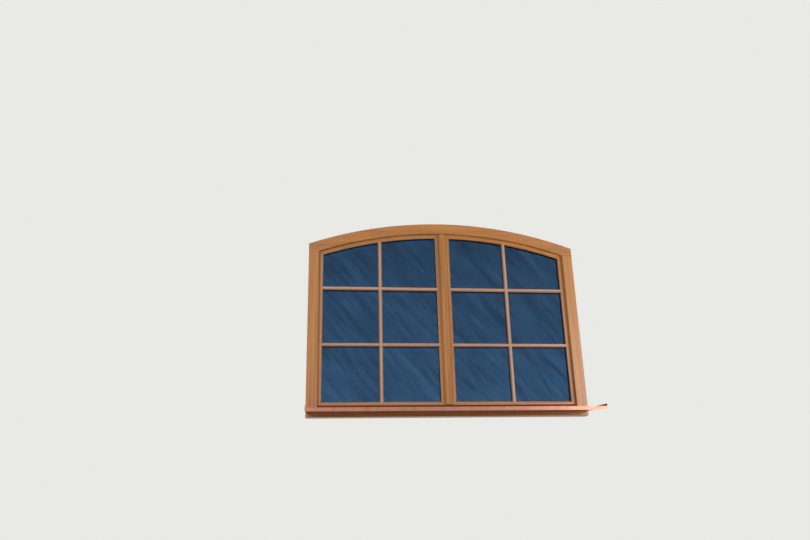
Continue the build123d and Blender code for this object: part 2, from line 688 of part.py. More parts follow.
def flush_bolt(top):
    """A bolt, its housing and the cuts for them in the stile, at one end of the meeting stile."""
    way = 1 if top else -1
    sash_end = arc_height(BOLT_X, SASH_EDGE) if top else SASH_EDGE
    foot = frame_floor_at_bolt(top) + way * (BOLT_REACH - BOLT_LENGTH)
    bolt = rod_along((0, 0, way), (BOLT_X, GROOVE_MIDDLE, foot), BOLT_RADIUS, BOLT_LENGTH)
    knob_y = (GROOVE_MIDDLE - KNOB_WIDTH / 2, GROOVE_MIDDLE + KNOB_WIDTH / 2)
    knob_end = foot + way * KNOB_LENGTH
    knob = block((BOLT_X, MEETING_REBATE - KNOB_REACH), knob_y, (foot, knob_end))

    lowest = foot - way * (BOLT_TRAVEL + RUN_GAP)
    housing_z = (sash_end - way * BOLT_HOUSING_SET, lowest - way * BOLT_HOUSING_END)
    pocket = block((MEETING_REBATE, MEETING_REBATE + BOLT_HOUSING_PLATE), GROOVE_Y, housing_z)
    slot_y = (knob_y[0] - RUN_GAP, knob_y[1] + RUN_GAP)
    slot = block((0, BOLT_X), slot_y, (lowest, knob_end + way * RUN_GAP))
    channel_start = (BOLT_X, GROOVE_MIDDLE, lowest)
    channel = rod_along((0, 0, way), channel_start, BOLT_RADIUS + RUN_GAP, BOLT_LENGTH + BOLT_TRAVEL)
    return bolt + knob, pocket - slot, [pocket, channel, slot]


def build_cover_strip():
    """The moulded strip over the gap between the sashes, fixed to the passive sash."""
    section = bevelled_section(STRIP_WIDTH, SASH_FRONT, STRIP_FRONT, STRIP_CHAMFER, STRIP_CHAMFER_DEPTH)
    strip = upright(section, 0, (RAIL_TOP + STRIP_END_GAP, FRAME_HEIGHT))
    strip &= frame_slab(FRAME_FACE + STRIP_END_GAP, 0, (STRIP_FRONT, SASH_FRONT))
    lapped = block((-STRIP_WIDTH, MEETING_EDGE), (SASH_FRONT - STRIP_GAP, SASH_FRONT), (0, FAR))
    save(strip - lapped, "outer_cover_strip")


# Rain rail and sill

def turned(first, second):
    """The left-hand normal of a line between two flat points."""
    length = math.dist(first, second)
    return ((first[1] - second[1]) / length, (second[0] - first[0]) / length)


def folded_sheet(points, thickness, length):
    """A sheet folded along (y, z) points, with its thickness to the left of the way they run."""
    normals = [turned(first, second) for first, second in zip(points, points[1:])]
    shifted = []
    for point, before, after in zip(points, normals[:1] + normals, normals + normals[-1:]):
        share = thickness / (1 + before[0] * after[0] + before[1] * after[1])
        shifted.append((point[0] + (before[0] + after[0]) * share, point[1] + (before[1] + after[1]) * share))
    return along_x(points + shifted[::-1], length)


def build_rain_rail():
    """The metal rail that stands in for the lip along the bottom, with a cap at each end."""
    front = [
        (-RAIL_DRIP_OUT, REBATE_FLOOR - RAIL_DRIP),
        (-RAIL_OUT, REBATE_FLOOR + RAIL_SET_IN),
        (RAIL_SET_IN, RAIL_TOP),
        (LIP_DEPTH, RAIL_TOP),
    ]
    foot = REBATE_FLOOR + RAIL_WALL
    back = [(LIP_DEPTH, foot), (LIP_DEPTH + RAIL_FOOT, foot)]
    clear = 2 * (HALF_WIDTH - FRAME_FACE - RAIL_END_GAP)
    rail = folded_sheet((front + back)[::-1], RAIL_WALL, clear - 2 * RAIL_CAP)
    save(rail, "rain_rail")
    inner = [(LIP_DEPTH, REBATE_FLOOR), (-RAIL_OUT / 2, REBATE_FLOOR), (-RAIL_OUT, front[0][1])]
    cap = along_x(front + inner, RAIL_CAP)
    shift = (clear - RAIL_CAP) / 2
    save(Compound([(Pos(side * shift, 0, 0) * cap).solid() for side in (-1, 1)]), "rain_rail_end_caps")


def sill_height(y):
    """Height of the sill's sheet at a depth."""
    return SILL_TOP - SILL_UPSTAND + y * math.tan(math.radians(SILL_SLOPE))


def build_sill():
    """The copper sill: upstand, sloping sheet, drip with a hem, and turned-up ends."""
    front = -SILL_REACH
    edge = sill_height(front)
    foot = edge - SILL_DRIP
    fold = [(0, SILL_TOP), (0, sill_height(0)), (front, edge), (front, foot), (front + SILL_HEM, foot + SILL_HEM_RISE)]
    sill = folded_sheet(fold[::-1], SILL_THICK, SILL_LENGTH)
    back = -SILL_THICK
    turnup_outline = [
        (front, foot),
        (front, edge + SILL_TURNUP),
        (back, sill_height(back) + SILL_TURNUP),
        (back, sill_height(back)),
        (front + SILL_HEM, edge - SILL_HEM),
        (front + SILL_HEM, foot),
    ]
    turnup = along_x(turnup_outline, SILL_THICK, [(1, SILL_TURNUP_ROUND)])
    for side in (-1, 1):
        sill += Pos(side * (SILL_LENGTH - SILL_THICK) / 2, 0, 0) * turnup
    save(sill, "copper_sill")


os.makedirs("parts", exist_ok=True)

build_frame()
build_rain_rail()
build_sill()
build_hinges(-1, "left", "active")
build_hinges(1, "right", "passive")

upper_bolt, upper_housing, upper_cuts = flush_bolt(True)
lower_bolt, lower_housing, lower_cuts = flush_bolt(False)
save(upper_bolt, "upper_bolt")
save(lower_bolt, "lower_bolt")
save(upper_housing, "upper_bolt_housing")
save(lower_housing, "lower_bolt_housing")
build_sash(-1, True, "active", lock_cuts())
build_sash(1, False, "passive", upper_cuts + lower_cuts)
build_lock()
build_strikers()
build_cover_strip()
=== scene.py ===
"""Looks of a segmental-arched timber window with two sashes and a copper sill.

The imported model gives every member's place. This add-on eases the timber's arrises, gives each
piece its finish, models the hardware that the plain solids only outline, and sets the stage.
"""

import json
import math

import bmesh
import bpy
from bpy.props import FloatProperty, FloatVectorProperty, IntProperty, PointerProperty
from mathutils import Matrix, Vector


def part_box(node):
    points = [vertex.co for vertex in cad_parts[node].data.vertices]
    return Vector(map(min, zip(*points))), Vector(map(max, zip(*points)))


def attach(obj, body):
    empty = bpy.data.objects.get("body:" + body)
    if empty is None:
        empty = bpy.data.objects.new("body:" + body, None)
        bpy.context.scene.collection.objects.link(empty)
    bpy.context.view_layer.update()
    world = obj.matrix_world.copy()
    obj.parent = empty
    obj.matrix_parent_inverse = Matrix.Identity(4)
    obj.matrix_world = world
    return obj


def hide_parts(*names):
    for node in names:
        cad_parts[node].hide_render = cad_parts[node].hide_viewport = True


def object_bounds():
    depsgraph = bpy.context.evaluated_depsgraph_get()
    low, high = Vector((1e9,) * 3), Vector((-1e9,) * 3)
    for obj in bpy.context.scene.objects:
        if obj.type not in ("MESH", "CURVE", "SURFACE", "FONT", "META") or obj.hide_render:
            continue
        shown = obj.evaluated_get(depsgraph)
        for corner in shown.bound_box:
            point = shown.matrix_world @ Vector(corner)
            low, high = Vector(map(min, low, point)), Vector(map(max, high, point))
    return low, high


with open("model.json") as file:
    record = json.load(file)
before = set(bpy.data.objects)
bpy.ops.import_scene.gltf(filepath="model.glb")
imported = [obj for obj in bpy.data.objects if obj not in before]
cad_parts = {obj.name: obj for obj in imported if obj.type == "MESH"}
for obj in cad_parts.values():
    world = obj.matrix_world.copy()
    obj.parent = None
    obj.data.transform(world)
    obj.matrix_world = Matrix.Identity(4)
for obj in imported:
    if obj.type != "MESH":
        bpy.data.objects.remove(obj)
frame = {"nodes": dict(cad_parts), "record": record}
CAD_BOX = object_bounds()

bl_info = {
    "name": "Arched timber window looks",
    "version": (1, 0, 0),
    "blender": (4, 5, 0),
    "location": "3D View > Sidebar > Window",
    "description": "Finishes and small parts of an arched two-sash timber window",
    "category": "Object",
}

MM = 0.001

# The photograph's frame and the camera that was fitted to the window's straight edges and arcs
PICTURE_WIDTH = 810
FOCAL_PIXELS = 722.3
SENSOR_WIDTH = 36
CAMERA_PLACE = (-0.919, -5.028, -0.750)
CAMERA_YAW = 7.10
CAMERA_PITCH = 19.89
CAMERA_ROLL = -1.47

# Sizes of the solids that their boxes don't give, as the model has them
LEAF = 3 * MM
LEAF_END = 4 * MM
BARREL = 44.7 * MM
PIN_RADIUS = 3.5 * MM
LEVER_THICK = 12 * MM
LEVER_TIP = 15 * MM
NECK_RADIUS = 8 * MM
ROSETTE_CORNER = 6 * MM
STRIKER_PLATE = 2 * MM
SHEET = 1 * MM

# Radii of the lever's edges, the rosette's rim and the folds of sheet metal
LEVER_SOFTNESS = 4.5 * MM
ROSETTE_RIM = 3.5 * MM
SHEET_FOLD = 0.4 * MM

# Degrees at most inside a flat face, and at least at an edge to ease and at one to shade sharp
FLAT_ANGLE = 0.6
EASED_ANGLE = 25
SHARP_ANGLE = 50

# An edge is eased where it is longer than this many radii
EASED_LENGTH = 3

# Points nearer than this are one, in the model's facets and in a new form
TOUCH = 0.01 * MM
SPECK = 0.001 * MM

# A sash's chamfer beside the glass: wider than an eased arris, and how far it faces outdoors
CHAMFER = 2 * MM
CHAMFER_FACING = (-0.7, -0.5)

# Screws: how far from a striker's or a bolt plate's end, how high on the sill's upstand, and at
# what shares of the faceplate's length, clear of the cams' slots
STRIKER_SCREW = 7 * MM
HOUSING_SCREW = 7 * MM
SILL_SCREW_HEIGHT = 41 * MM
FACEPLATE_SCREWS = (0.02, 0.1, 0.25, 0.36, 0.5, 0.68, 0.77, 0.92, 0.98)

# A screw head in shares of its radius, and its recess's foot as a share of the cross above it
SCREW_FACETS = 24
SCREW_CROSS = 0.62
SCREW_ARM = 0.2
SCREW_TOP = 0.94
SCREW_CROWN = 0.12
SCREW_FOOT = 0.6
SCREW_DEPTH = 0.5
RECESS_FOOT = 0.55
RECESS_DEPTH = 0.45

# Turned forms as points: shares of a radius, with heights in shares of the finial's or in metres
WASHER_TOP = 0.7 * MM
WASHER = ((0, WASHER_TOP), (1.5, WASHER_TOP), (1.6, 0.4 * MM), (1.6, -0.2 * MM), (0, -0.2 * MM))
LEAF_PIN = ((0, 0.35 * MM), (0.7, 0.25 * MM), (1, 0), (1, -0.5 * MM), (0, -0.5 * MM))
FINIAL = ((0.55, 0.1), (0.45, 0.25), (0.6, 0.5), (0.5, 0.8), (0.25, 0.97), (0, 1))

# The collar on the rosette: its gap to the neck, and millimetres out from there and up
COLLAR_GAP = 0.3 * MM
COLLAR = ((0, -0.5), (0, 0.8), (0.4, 1.1), (1.6, 1.1), (2.2, 0.5), (2.4, -0.5), (0, -0.5))

# The lever's neck: its rounded ends, its root in the grip, and where it is slimmer, in
# millimetres and shares of its length
NECK_EDGE = 0.4 * MM
NECK_FLARE = 0.6 * MM
NECK_ROOT = 3 * MM
NECK_WAIST = ((0.6, 0.35), (0.9, 0.6), (0.6, 0.85))

# The timber's figure: its jump from lamella to lamella and board to board, how many boards
# differ, how it is drawn out along the grain and turned about it, and how rings wander and thin
LAMELLA_JUMP = 1.7
BOARD_SHIFT = 0.37
BOARDS = 4
GRAIN_DRAWN = 0.03
GRAIN_TURN = 28
RING_WANDER = 14.0
RING_THINNING = 3.0

# A wave texture at scale one repeats after a tenth of pi
WAVE_PERIOD = math.pi / 10

# Timber fibres and the grain of plain finishes, drawn coarser than real so that they show
FIBRE = 1.2 * MM
FIBRE_DEPTH = 0.06 * MM
GRAIN = 0.5 * MM
GRAIN_DEPTH = 0.02 * MM
GLOSS_SPREAD = 0.08

# The panes' veils of dust and wipe marks: slant, widths, and how far they are drawn out
WIPE_SLANT = 40
VEIL_WIDTH = 55 * MM
VEIL_DRAWN = 0.16
WIPE_WIDTH = 70 * MM
WIPE_DRAWN = 0.1

# The copper's clouds of oxide, and the runs down its slope
OXIDE_CLOUD = 90 * MM
OXIDE_DEPTH = 0.4 * MM
RUN_WIDTH = 38 * MM
RUN_DRAWN = 0.06

# The ground lies as far below the sill as it does in front of a ground-floor room
FLOOR_DROP = 2.35
FLOOR_RADIUS = 60

# Each lamp's place and width
LAMPS = {
    "key": ((-3.6, -4.4, 1.8), 2.4),
    "fill": ((3.0, -2.6, 0.6), 2.0),
    "back": ((0.6, 4.0, 2.4), 2.6),
}


def linear(hex_colour):
    """A linear colour from an sRGB hex value."""
    channels = [int(hex_colour[place : place + 2], 16) / 255 for place in (0, 2, 4)]
    return tuple(c / 12.92 if c <= 0.04045 else ((c + 0.055) / 1.055) ** 2.4 for c in channels)


def opaque(colour):
    """A colour with full alpha."""
    return (*colour[:3], 1.0)


class TimberLook(bpy.types.PropertyGroup):
    """Colours and grain of the glazed timber."""

    early_wood: FloatVectorProperty(
        name="Early wood",
        description="Colour of the pale bands of the glazed grain",
        subtype="COLOR",
        default=linear("A56D31"),
    )
    late_wood: FloatVectorProperty(
        name="Late wood",
        description="Colour of the dark lines of the glazed grain",
        subtype="COLOR",
        default=linear("7A481E"),
    )
    # Bars and the chamfers beside the glass: paler, greyer wood, a painted sheen of the sky and
    # painted highlights
    painted_sheen_early_wood: FloatVectorProperty(
        name="Early wood under thin glaze",
        description="Colour of the pale bands on bars and chamfers, off which the glaze runs",
        subtype="COLOR",
        default=linear("AA846A"),
    )
    painted_sheen_late_wood: FloatVectorProperty(
        name="Late wood under thin glaze",
        description="Colour of the dark lines on bars and chamfers",
        subtype="COLOR",
        default=linear("88664E"),
    )
    ring_spacing: FloatProperty(
        name="Ring spacing",
        description="Distance between growth rings, coarser than the real 2 mm so that they show",
        default=6 * MM,
        unit="LENGTH",
    )
    streak_width: FloatProperty(
        name="Streak width",
        description="Width of the broad streaks of colour along the grain",
        default=24 * MM,
        unit="LENGTH",
    )
    lamella: FloatProperty(
        name="Lamella",
        description="Thickness of each of the layers that the members are glued up from",
        default=22.7 * MM,
        unit="LENGTH",
    )
    arris: FloatProperty(
        name="Arris",
        description="Radius of the eased edges of the members",
        default=1.6 * MM,
        unit="LENGTH",
    )
    arris_steps: IntProperty(
        name="Arris steps",
        description="Facets across an eased edge",
        default=3,
        min=1,
        max=6,
    )


class GlassLook(bpy.types.PropertyGroup):
    """Colours of the glass and of what is sealed in or round it."""

    tint: FloatVectorProperty(
        name="Tint",
        description="Colour of light that has passed a clean pane",
        subtype="COLOR",
        default=linear("597288"),
    )
    # Paler low down as a painted reflection and shade, and paler in the veils of dust
    dust_and_painted_reflection_tint: FloatVectorProperty(
        name="Pale tint",
        description="The same where a pane is paler, low down and in its veils of dust",
        subtype="COLOR",
        default=linear("7D9DBA"),
    )
    sheen: FloatVectorProperty(
        name="Sheen",
        description="Colour of what the coated panes reflect",
        subtype="COLOR",
        default=linear("7FA6D8"),
    )
    spacer: FloatVectorProperty(
        name="Spacer",
        description="Colour of the spacer between the panes",
        subtype="COLOR",
        default=linear("2C211B"),
    )
    seal: FloatVectorProperty(
        name="Seal",
        description="Colour of the glazing and overlap seals",
        subtype="COLOR",
        default=linear("4A3326"),
    )
    seal_edge: FloatProperty(
        name="Seal edge",
        description="Radius of the edges of the moulded overlap seal",
        default=1 * MM,
        unit="LENGTH",
    )


class MetalLook(bpy.types.PropertyGroup):
    """Colours of the sheet metal and the hardware."""

    bright_copper: FloatVectorProperty(
        name="Bright copper",
        description="Colour of the copper where its oxide is thin",
        subtype="COLOR",
        default=linear("C28670"),
    )
    dull_copper: FloatVectorProperty(
        name="Dull copper",
        description="Colour of the copper where its oxide is thick",
        subtype="COLOR",
        default=linear("946559"),
    )
    rail: FloatVectorProperty(
        name="Rain rail",
        description="Colour of the bronze anodised rain rail",
        subtype="COLOR",
        default=linear("5A3428"),
    )
    zinc: FloatVectorProperty(
        name="Zinc",
        description="Colour of the zinc plated steel hardware",
        subtype="COLOR",
        default=linear("C3C5C6"),
    )
    handle: FloatVectorProperty(
        name="Handle",
        description="Colour of the anodised handle",
        subtype="COLOR",
        default=linear("D2C3A5"),
    )


class HardwareSizes(bpy.types.PropertyGroup):
    """Sizes of the turned, pressed and driven small parts."""

    facets: IntProperty(
        name="Facets round",
        description="Facets round a turned part",
        default=36,
        min=12,
        max=96,
    )
    finial: FloatProperty(
        name="Finial",
        description="Height of the turned cap on each end of a hinge barrel",
        default=5 * MM,
        unit="LENGTH",
    )
    screw: FloatProperty(
        name="Screw head",
        description="Radius of the countersunk heads that hold plates and strikers",
        default=3.2 * MM,
        unit="LENGTH",
    )
    sill_screw: FloatProperty(
        name="Sill screw",
        description="Radius of the heads that hold the sill's upstand",
        default=4 * MM,
        unit="LENGTH",
    )
    sill_screw_spacing: FloatProperty(
        name="Sill screw spacing",
        description="Distance between the screws along the sill",
        default=380 * MM,
        unit="LENGTH",
    )
    pin: FloatProperty(
        name="Hinge pin head",
        description="Radius of the steel pins that hold each hinge leaf in its mortise",
        default=2.2 * MM,
        unit="LENGTH",
    )
    soft_edge: FloatProperty(
        name="Pressed edge",
        description="Radius of the edges of pressed plates",
        default=0.4 * MM,
        unit="LENGTH",
    )


class StageLook(bpy.types.PropertyGroup):
    """Light and background."""

    backdrop: FloatVectorProperty(
        name="Backdrop",
        description="Colour behind the window and of the floor",
        subtype="COLOR",
        default=linear("E9E9E6"),
    )
    floor_lift: FloatProperty(
        name="Floor lift",
        description="Share of its own paleness that the floor shows, so that it stays pale far off",
        default=0.8,
        min=0.0,
        max=1.0,
    )
    key_power: FloatProperty(
        name="Key light",
        description="Power of the large soft light at the front left",
        default=195.0,
        unit="POWER",
    )
    fill_power: FloatProperty(
        name="Fill light",
        description="Power of the soft light at the front right",
        default=125.0,
        unit="POWER",
    )
    back_power: FloatProperty(
        name="Back light",
        description="Power of the soft light on the room side",
        default=120.0,
        unit="POWER",
    )
    sky_strength: FloatProperty(
        name="Sky strength",
        description="Strength of the even light from all round",
        default=0.36,
        min=0.0,
    )


def add_node(tree, kind, settings=(), links=()):
    """Add a node, set its attributes and unlinked inputs, link the others, and give its outputs."""
    node = tree.nodes.new(f"ShaderNode{kind}")
    for name, value in dict(settings).items():
        if isinstance(name, str) and hasattr(node, name):
            setattr(node, name, value)
        else:
            node.inputs[name].default_value = value
    for name, socket in dict(links).items():
        tree.links.new(socket, node.inputs[name])
    return node.outputs


def new_material(name):
    """An empty node material, its tree, and the object's own coordinates in it."""
    material = bpy.data.materials.new(name)
    material.use_nodes = True
    tree = material.node_tree
    tree.nodes.clear()
    return material, tree, add_node(tree, "TexCoord")["Object"]


def finish_surface(tree, settings, links):
    """Add the surface shader and the output."""
    shader = add_node(tree, "BsdfPrincipled", settings, links)["BSDF"]
    add_node(tree, "OutputMaterial", links={"Surface": shader})


# Larch, planed, glazed honey brown and satin: it shows long streaks, fine rings and a soft gloss
def glazed_larch(look, upright, board, painted_sheen):
    """Timber whose grain runs upright or level. Each board number has its own figure."""
    name = f"{'thinly_' if painted_sheen else ''}glazed_larch_{'upright' if upright else 'level'}_{board}"
    if name in bpy.data.materials:
        return bpy.data.materials[name]
    early, late = look.early_wood, look.late_wood
    # Bars and chamfers take paler, greyer colours: a painted sheen
    if painted_sheen:
        early, late = look.painted_sheen_early_wood, look.painted_sheen_late_wood
    material, tree, place = new_material(name)
    if not upright:
        settings = {"Rotation": (0, math.radians(90), 0)}
        place = add_node(tree, "Mapping", settings, {"Vector": place})["Vector"]

    # Every lamella and every board starts at its own place along and across the grain
    depth = add_node(tree, "SeparateXYZ", links={"Vector": place})["Y"]
    layer = add_node(tree, "Math", {"operation": "DIVIDE", 1: look.lamella}, {0: depth})[0]
    layer = add_node(tree, "Math", {"operation": "FLOOR"}, {0: layer})[0]
    jump = add_node(tree, "Math", {"operation": "MULTIPLY", 1: LAMELLA_JUMP}, {0: layer})[0]
    shift = add_node(tree, "CombineXYZ", {"X": BOARD_SHIFT * board}, {"Z": jump})[0]
    place = add_node(tree, "VectorMath", {"operation": "ADD"}, {0: place, 1: shift})[0]

    # The figure is drawn out along the grain and turned about it, so that no face cuts it square
    long = add_node(
        tree, "Mapping",
        {"Scale": (1, 1, GRAIN_DRAWN), "Rotation": (0, 0, math.radians(GRAIN_TURN))},
        {"Vector": place},
    )["Vector"]
    streaks = add_node(
        tree, "TexNoise", {"Scale": 1 / look.streak_width, "Detail": 3.0, "Roughness": 0.55},
        {"Vector": long},
    )["Fac"]
    rings = add_node(
        tree, "TexWave",
        {"bands_direction": "X", "Scale": WAVE_PERIOD / look.ring_spacing,
         "Distortion": RING_WANDER, "Detail": 2.0, "Detail Scale": 0.9},
        {"Vector": long},
    )["Fac"]
    fibres = add_node(
        tree, "TexNoise", {"Scale": 1 / FIBRE, "Detail": 2.0}, {"Vector": long}
    )["Fac"]

    # Rings show as thin dark lines, more of them inside a dark streak than beside it
    line = add_node(tree, "Math", {"operation": "POWER", 1: RING_THINNING}, {0: rings})[0]
    clear = add_node(
        tree, "MapRange", {"From Min": 0.35, "From Max": 0.65, "To Min": 0.15, "To Max": 0.6},
        {"Value": streaks},
    )["Result"]
    ring_part = add_node(tree, "Math", {"operation": "MULTIPLY"}, {0: line, 1: clear})[0]
    streak_part = add_node(
        tree, "MapRange", {"From Min": 0.3, "From Max": 0.7, "To Min": 0.0, "To Max": 0.55},
        {"Value": streaks},
    )["Result"]
    dark = add_node(tree, "Math", {"operation": "ADD"}, {0: ring_part, 1: streak_part})[0]
    fine = add_node(tree, "Math", {"operation": "MULTIPLY_ADD", 1: 0.25, 2: -0.12}, {0: fibres})[0]
    dark = add_node(tree, "Math", {"operation": "ADD", "use_clamp": True}, {0: dark, 1: fine})[0]
    colour = add_node(
        tree, "Mix", {"data_type": "RGBA", 6: opaque(early), 7: opaque(late)}, {0: dark}
    )[2]
    rough = add_node(tree, "MapRange", {"To Min": 0.36, "To Max": 0.5}, {"Value": fibres})["Result"]
    relief = add_node(tree, "Bump", {"Distance": FIBRE_DEPTH}, {"Height": fibres})["Normal"]
    finish_surface(
        tree,
        {"IOR": 1.5, "Coat Weight": 0.25, "Coat Roughness": 0.3},
        {"Base Color": colour, "Roughness": rough, "Normal": relief},
    )
    return material


# Coated float glass, clear: dark blue high up and paler low down, a painted reflection and shade,
# with slanting veils of dust and the thin darker marks of its first wipe
def coated_glass(look):
    """Insulating glass with a blue sun coating."""
    material, tree, place = new_material("coated_float_glass")
    slant = add_node(
        tree, "Mapping", {"Rotation": (0, math.radians(WIPE_SLANT), 0)}, {"Vector": place}
    )["Vector"]
    long = add_node(tree, "Mapping", {"Scale": (1, 1, VEIL_DRAWN)}, {"Vector": slant})["Vector"]
    veils = add_node(
        tree, "TexNoise", {"Scale": 1 / VEIL_WIDTH, "Detail": 1.5, "Distortion": 0.7},
        {"Vector": long},
    )["Fac"]
    veils = add_node(
        tree, "MapRange", {"From Min": 0.42, "From Max": 0.78, "To Max": 0.45}, {"Value": veils}
    )["Result"]
    # Painted reflection and shade: the tint is paler low down and darker high up
    height = add_node(tree, "SeparateXYZ", links={"Vector": place})["Z"]
    low = add_node(
        tree, "MapRange", {"From Min": 1.4, "From Max": 0.05, "To Min": 0.24, "To Max": 0.64},
        {"Value": height},
    )["Result"]
    paler = add_node(tree, "Math", {"operation": "ADD"}, {0: veils, 1: low})[0]

    # A mark lies where a noise passes its middle value
    long = add_node(tree, "Mapping", {"Scale": (1, 1, WIPE_DRAWN)}, {"Vector": slant})["Vector"]
    folds = add_node(
        tree, "TexNoise", {"Scale": 1 / WIPE_WIDTH, "Detail": 0.5, "Distortion": 0.4},
        {"Vector": long},
    )["Fac"]
    across = add_node(tree, "Math", {"operation": "SUBTRACT", 1: 0.5}, {0: folds})[0]
    across = add_node(tree, "Math", {"operation": "ABSOLUTE"}, {0: across})[0]
    wiped = add_node(
        tree, "MapRange", {"From Max": 0.06, "To Min": 0.36, "To Max": 0.0}, {"Value": across}
    )["Result"]
    share = add_node(
        tree, "Math", {"operation": "SUBTRACT", "use_clamp": True}, {0: paler, 1: wiped}
    )[0]
    tints = {6: opaque(look.tint), 7: opaque(look.dust_and_painted_reflection_tint)}
    colour = add_node(tree, "Mix", {"data_type": "RGBA", **tints}, {0: share})[2]
    finish_surface(
        tree,
        {"Roughness": 0.0, "IOR": 1.52, "Transmission Weight": 1.0,
         "Specular Tint": opaque(look.sheen)},
        {"Base Color": colour},
    )
    return material


def plain_finish(name, colour, roughness, metallic=0.0, grain=GRAIN):
    """A finish with a fine grain in its gloss and surface."""
    material, tree, place = new_material(name)
    speckle = add_node(
        tree, "TexNoise", {"Scale": 1 / grain, "Detail": 2.0}, {"Vector": place}
    )["Fac"]
    ends = {"To Min": roughness - GLOSS_SPREAD, "To Max": roughness + GLOSS_SPREAD}
    rough = add_node(tree, "MapRange", ends, {"Value": speckle})["Result"]
    relief = add_node(tree, "Bump", {"Distance": GRAIN_DEPTH}, {"Height": speckle})["Normal"]
    finish_surface(
        tree,
        {"Base Color": opaque(colour), "Metallic": metallic},
        {"Roughness": rough, "Normal": relief},
    )
    return material


# Rolled copper sheet, a year or two outdoors: salmon where rain runs, brown where the oxide stays
def weathered_copper(look):
    """Copper with clouds of oxide and faint runs down the slope."""
    material, tree, place = new_material("weathered_copper")
    clouds = add_node(
        tree, "TexNoise", {"Scale": 1 / OXIDE_CLOUD, "Detail": 5.0, "Roughness": 0.6},
        {"Vector": place},
    )["Fac"]
    down = add_node(
        tree, "Mapping", {"Scale": (1, RUN_DRAWN, RUN_DRAWN)}, {"Vector": place}
    )["Vector"]
    runs = add_node(
        tree, "TexNoise", {"Scale": 1 / RUN_WIDTH, "Detail": 3.0}, {"Vector": down}
    )["Fac"]
    both = add_node(tree, "Math", {"operation": "ADD"}, {0: clouds, 1: runs})[0]
    share = add_node(
        tree, "MapRange", {"From Min": 0.6, "From Max": 1.4}, {"Value": both}
    )["Result"]
    tones = {6: opaque(look.dull_copper), 7: opaque(look.bright_copper)}
    colour = add_node(tree, "Mix", {"data_type": "RGBA", **tones}, {0: share})[2]
    rough = add_node(tree, "MapRange", {"To Min": 0.46, "To Max": 0.28}, {"Value": share})["Result"]
    relief = add_node(
        tree, "Bump", {"Strength": 0.6, "Distance": OXIDE_DEPTH}, {"Height": clouds}
    )["Normal"]
    finish_surface(
        tree, {"Metallic": 1.0}, {"Base Color": colour, "Roughness": rough, "Normal": relief}
    )
    return material


# Steel, pressed or turned and then zinc plated: pale grey, with a soft shine of fine crystals
def zinc_steel(look):
    """Zinc plated steel, made once for all the hardware."""
    name = "zinc_plated_steel"
    if name in bpy.data.materials:
        return bpy.data.materials[name]
    return plain_finish(name, look.zinc, roughness=0.36, metallic=1.0)


def body_of(node):
    """The body that a node rides on."""
    bodies = frame["record"]["behaviour"]["bodies"]
    return next(body for body, members in bodies.items() if node in members)


def joint_place(name):
    """A joint's place in the record."""
    joints = frame["record"]["behaviour"]["joints"]
    return Vector(next(joint["pos_m"] for joint in joints if joint["name"] == name))


def dress(material, *nodes):
    """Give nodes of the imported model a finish."""
    for node in nodes:
        slots = frame["nodes"][node].data.materials
        slots.clear()
        slots.append(material)


def solids_apart(node):
    """A node's solids, each as its own merged shape, also where two of them touch."""
    whole = bmesh.new()
    whole.from_mesh(frame["nodes"][node].data)
    twins = bmesh.ops.find_doubles(whole, verts=whole.verts, dist=TOUCH)["targetmap"]
    solid_of = []
    solid = 0
    unmatched = set()
    for face in whole.faces:
        corners = [twins.get(vert, vert).index for vert in face.verts]
        unmatched ^= {min(edge, edge[::-1]) for edge in zip(corners, corners[1:] + corners[:1])}
        solid_of.append(solid)
        solid += not unmatched
    for number in range(solid):
        shape = whole.copy()
        others = [face for face in shape.faces if solid_of[face.index] != number]
        bmesh.ops.delete(shape, geom=others, context="FACES")
        bmesh.ops.remove_doubles(shape, verts=shape.verts, dist=TOUCH)
        yield shape
    whole.free()


def extent(shape):
    """The lowest and the highest corner of a shape's box."""
    places = [vert.co for vert in shape.verts]
    return [Vector([end(c[axis] for c in places) for axis in range(3)]) for end in (min, max)]


def solids_of(node):
    """The lowest and highest corners of each separate solid of a node, from low to high."""
    return sorted(map(extent, solids_apart(node)), key=lambda box: box[0].z)


def add_shape(form, shape, matrix=Matrix()):
    """Move a shape into place and make it part of a form."""
    bmesh.ops.transform(shape, matrix=matrix, verts=shape.verts)
    mesh = bpy.data.meshes.new("shape")
    shape.to_mesh(mesh)
    shape.free()
    form.from_mesh(mesh)
    bpy.data.meshes.remove(mesh)


def facing(place, way):
    """The matrix that puts a shape at a place with its Z axis along a way."""
    return Matrix.Translation(place) @ Vector(way).to_track_quat("Z", "Y").to_matrix().to_4x4()


def turned(profile, facets):
    """A shape turned about Z from (radius, height) points, closed where they meet the axis."""
    shape = bmesh.new()
    verts = [shape.verts.new((radius, 0, height)) for radius, height in profile]
    edges = [shape.edges.new(pair) for pair in zip(verts, verts[1:])]
    bmesh.ops.spin(
        shape, geom=verts + edges, cent=(0, 0, 0), axis=(0, 0, 1), angle=math.tau, steps=facets,
        use_merge=True,
    )
    bmesh.ops.remove_doubles(shape, verts=shape.verts, dist=SPECK)
    bmesh.ops.recalc_face_normals(shape, faces=shape.faces)
    return shape


def block(low, high):
    """A block between two corners."""
    shape = bmesh.new()
    bmesh.ops.create_cube(shape, size=1)
    bmesh.ops.scale(shape, vec=high - low, verts=shape.verts)
    bmesh.ops.translate(shape, vec=(low + high) / 2, verts=shape.verts)
    return shape


def ease(shape, edges, radius, steps, clamp=False):
    """Round some edges of a shape."""
    bmesh.ops.bevel(
        shape, geom=edges, offset=radius, segments=steps, profile=0.5, affect="EDGES",
        clamp_overlap=clamp, material=-1,
    )


def depth_of(edge):
    """How far an edge runs along Y."""
    return abs(edge.verts[0].co.y - edge.verts[1].co.y)


def open_edges(shape):
    """The edges round the openings of a shape."""
    return [edge for edge in shape.edges if edge.is_boundary]


